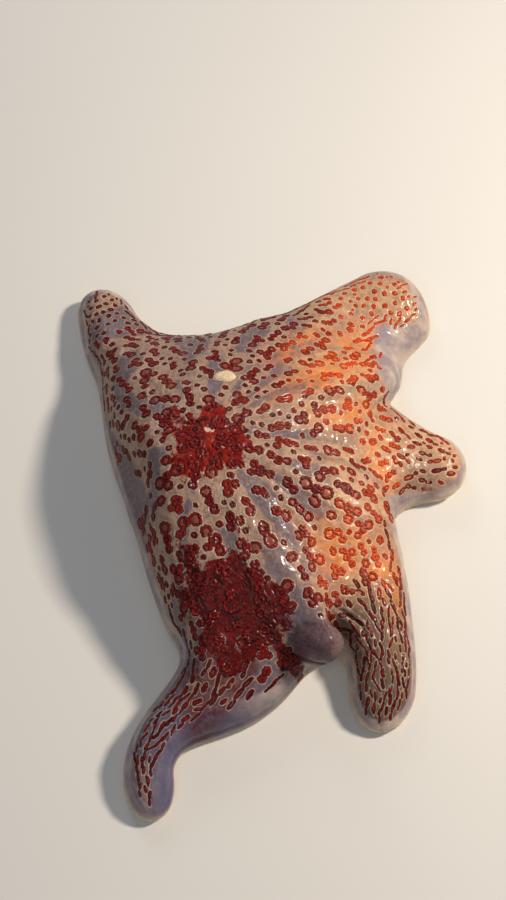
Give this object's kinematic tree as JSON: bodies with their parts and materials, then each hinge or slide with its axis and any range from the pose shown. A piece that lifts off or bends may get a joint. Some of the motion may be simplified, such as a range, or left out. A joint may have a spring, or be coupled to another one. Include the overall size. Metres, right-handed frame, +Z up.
{
  "type": "leather star",
  "caption": "Life-size leather star, a humped sea star with bent arms resting on the ground, for display as a still museum model.",
  "frame": {"origin": "centre of the bounding box at floor level, under the star's right half of the disc", "axes": "+Z up, the floor is z = 0; the third and fourth arm point towards -Y, the second towards +X, the first and fifth towards +Y"},
  "size_m": [0.1785, 0.2634, 0.052],
  "materials": {
    "spotted_skin": "wet slippery skin, grey-mauve with dark red and orange-red rosettes",
    "sieve_plate": "cream limy plate with fine winding grooves"
  },
  "bodies": {
    "root": {"disc": "spotted_skin", "arm_1": "spotted_skin", "arm_2": "spotted_skin", "arm_3": "spotted_skin", "arm_4": "spotted_skin", "arm_5": "spotted_skin", "madreporite": "sieve_plate"}
  },
  "joints": []
}
